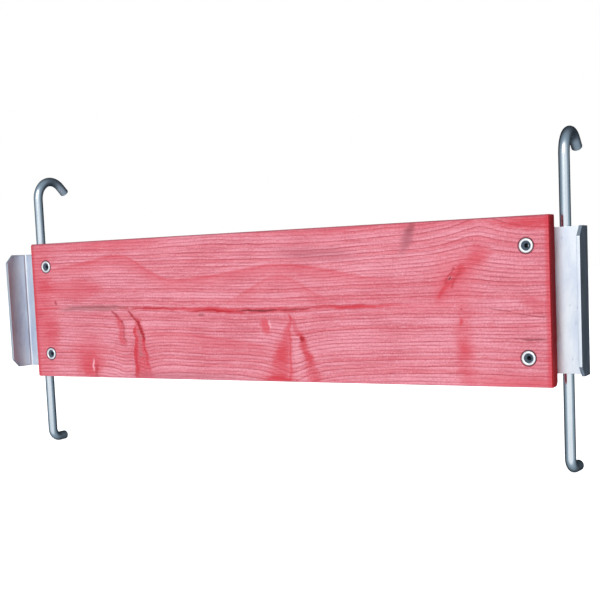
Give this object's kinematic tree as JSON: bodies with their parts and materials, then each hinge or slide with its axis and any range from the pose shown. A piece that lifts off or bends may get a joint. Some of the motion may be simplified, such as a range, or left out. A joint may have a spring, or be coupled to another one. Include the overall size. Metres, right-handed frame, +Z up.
{
  "type": "scaffold end toe board",
  "caption": "Hook-on end toe board for a scaffold: a red-stained wooden board with riveted sheet end brackets and welded hook rods behind them.",
  "frame": {"origin": "centre of the board's front face, halfway along its length and height", "axes": "+X along the board to the right end as seen from the front, +Y from the front face to the hook side, +Z up towards the hooks"},
  "size_m": [0.658, 0.0813, 0.308],
  "materials": {
    "stained_spruce": "matt, translucent red stain over flat-sawn spruce",
    "galvanised_sheet": "galvanised sheet, satin, faint spangle",
    "galvanised_bar": "galvanised round bar, satin",
    "zinc_rivet": "bright zinc plated",
    "weld_metal": "galvanised over weld beads, rough"
  },
  "bodies": {
    "root": {"board": "stained_spruce", "bracket_left": "galvanised_sheet", "bracket_right": "galvanised_sheet", "hook_rod_left": "galvanised_bar", "hook_rod_right": "galvanised_bar", "rivet_left_top": "zinc_rivet", "rivet_left_bottom": "zinc_rivet", "rivet_right_top": "zinc_rivet", "rivet_right_bottom": "zinc_rivet", "weld_left_top": "weld_metal", "weld_left_bottom": "weld_metal", "weld_right_top": "weld_metal", "weld_right_bottom": "weld_metal"}
  },
  "joints": []
}
